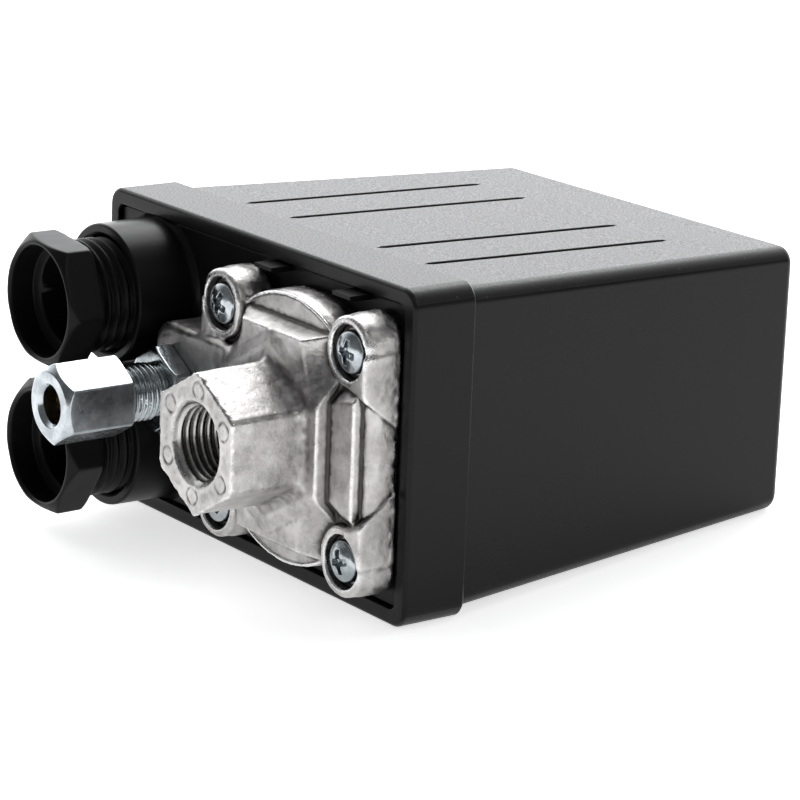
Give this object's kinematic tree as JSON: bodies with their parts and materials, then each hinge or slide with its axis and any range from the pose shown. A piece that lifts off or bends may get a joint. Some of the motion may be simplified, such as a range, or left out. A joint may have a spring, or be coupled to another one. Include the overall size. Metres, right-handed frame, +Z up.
{
  "type": "pressure switch",
  "caption": "Air-compressor pressure switch: boxed black plastic cover, cast flange with threaded port, unloader valve with tube nut, two cable glands.",
  "frame": {"origin": "centre of the pressure port's mouth, on the port's axis", "axes": "the switch lies on its side: -Y out of the port, +Y into the box, +Z up, +X away from the glands"},
  "size_m": [0.089, 0.1269, 0.055],
  "materials": {
    "cover_plastic": "fine spark-eroded texture on the top, smoother sides",
    "base_plastic": "moulded black nylon, slightly glossy",
    "cast_aluminium": "as die-cast, fine pitting, bright edges",
    "zinc_steel": "clear blue zinc plating",
    "brass": "turned and stamped brass",
    "rubber": "moulded nitrile rubber",
    "spring_steel": "bright drawn wire",
    "sheet_steel": "yellow-passivated sheet steel",
    "terminal_plastic": "dark phenolic moulding",
    "knob_plastic": "polished black moulding"
  },
  "bodies": {
    "housing": {"base_plate": "base_plastic", "flange_casting": "cast_aluminium", "flange_screws": "zinc_steel", "diaphragm": "rubber", "steel_frame": "sheet_steel", "pivot_pin": "spring_steel", "range_spring": "spring_steel", "differential_spring": "spring_steel", "terminal_block": "terminal_plastic", "fixed_contacts": "brass", "terminal_clamps": "zinc_steel", "terminal_screws": "zinc_steel", "carrier_spring": "spring_steel", "earth_screws": "zinc_steel", "earth_washers": "zinc_steel", "unloader_body": "zinc_steel", "olive": "brass", "unloader_spring": "spring_steel", "gland_washer_upper": "base_plastic", "gland_washer_lower": "base_plastic", "gland_seal_upper": "rubber", "gland_seal_lower": "rubber"},
    "cover": {"cover": "cover_plastic", "cover_screws": "zinc_steel"},
    "knob": {"knob": "knob_plastic"},
    "cam": {"switch_cam": "terminal_plastic"},
    "plunger": {"plunger": "cast_aluminium"},
    "lever": {"main_lever": "sheet_steel"},
    "carrier": {"contact_carrier": "terminal_plastic", "moving_contacts": "brass", "contact_springs": "spring_steel"},
    "valve_pin": {"unloader_pin": "brass", "unloader_seal": "rubber"},
    "range_screw": {"range_screw": "zinc_steel"},
    "range_nut": {"range_nut": "sheet_steel"},
    "differential_screw": {"differential_screw": "zinc_steel"},
    "differential_nut": {"differential_nut": "sheet_steel"},
    "gland_nut_upper": {"gland_nut_upper": "base_plastic"},
    "gland_nut_lower": {"gland_nut_lower": "base_plastic"},
    "compression_nut": {"compression_nut": "zinc_steel"}
  },
  "joints": [
    {"name": "cover_lift", "type": "slide", "parent": "housing", "child": "cover", "axis": [0, 1, 0], "range_m": [0, 0.09]},
    {"name": "knob_turn", "type": "hinge", "parent": "cover", "child": "knob", "pos_m": [-0.0185, 0.1073, 0.001], "axis": [0, -1, 0], "range_deg": [0, 90]},
    {"name": "cam_turn", "type": "hinge", "parent": "housing", "child": "cam", "pos_m": [-0.0185, 0.0832, 0.001], "axis": [0, -1, 0], "range_deg": [0, 90]},
    {"name": "lever_tilt", "type": "hinge", "parent": "housing", "child": "lever", "pos_m": [-0.0115, 0.048, 0], "axis": [0, 0, 1], "range_deg": [0, 5], "stiffness_Nm_per_rad": 2, "deforming": ["range_spring", "differential_spring"]},
    {"name": "plunger_slide", "type": "slide", "parent": "housing", "child": "plunger", "axis": [0, 1, 0], "range_m": [0, 0.00102]},
    {"name": "carrier_slide", "type": "slide", "parent": "housing", "child": "carrier", "axis": [0, -1, 0], "range_m": [0, 0.00262], "deforming": ["carrier_spring"]},
    {"name": "valve_pin_slide", "type": "slide", "parent": "housing", "child": "valve_pin", "axis": [0, -1, 0], "range_m": [0, 0.00161], "deforming": ["unloader_spring"]},
    {"name": "range_turn", "type": "hinge", "parent": "housing", "child": "range_screw", "pos_m": [0, 0.0845, 0], "axis": [0, 1, 0], "range_deg": [-720, 720]},
    {"name": "range_nut_slide", "type": "slide", "parent": "housing", "child": "range_nut", "axis": [0, 1, 0], "range_m": [-0.0025, 0.0025]},
    {"name": "differential_turn", "type": "hinge", "parent": "housing", "child": "differential_screw", "pos_m": [0.0145, 0.0845, 0], "axis": [0, 1, 0], "range_deg": [-720, 720]},
    {"name": "differential_nut_slide", "type": "slide", "parent": "housing", "child": "differential_nut", "axis": [0, 1, 0], "range_m": [-0.0016, 0.0016]},
    {"name": "gland_turn_upper", "type": "hinge", "parent": "housing", "child": "gland_nut_upper", "pos_m": [-0.0478, 0.003, 0.01265], "axis": [0, -1, 0], "continuous": true},
    {"name": "gland_turn_lower", "type": "hinge", "parent": "housing", "child": "gland_nut_lower", "pos_m": [-0.0478, 0.003, -0.01265], "axis": [0, -1, 0], "continuous": true},
    {"name": "compression_turn", "type": "hinge", "parent": "housing", "child": "compression_nut", "pos_m": [-0.0303, -0.002, 0], "axis": [0, -1, 0], "continuous": true}
  ],
  "couplings": [
    {"joint": "cam_turn", "follows": "knob_turn", "ratio": 1},
    {"joint": "plunger_slide", "follows": "lever_tilt", "m_per_rad": 0.0112},
    {"joint": "carrier_slide", "follows": "lever_tilt", "m_per_rad": 0.029794},
    {"joint": "valve_pin_slide", "follows": "lever_tilt", "m_per_rad": 0.018335},
    {"joint": "range_turn", "follows": "range_nut_slide", "rad_per_m": 5026.5},
    {"joint": "differential_turn", "follows": "differential_nut_slide", "rad_per_m": 7853.9}
  ]
}
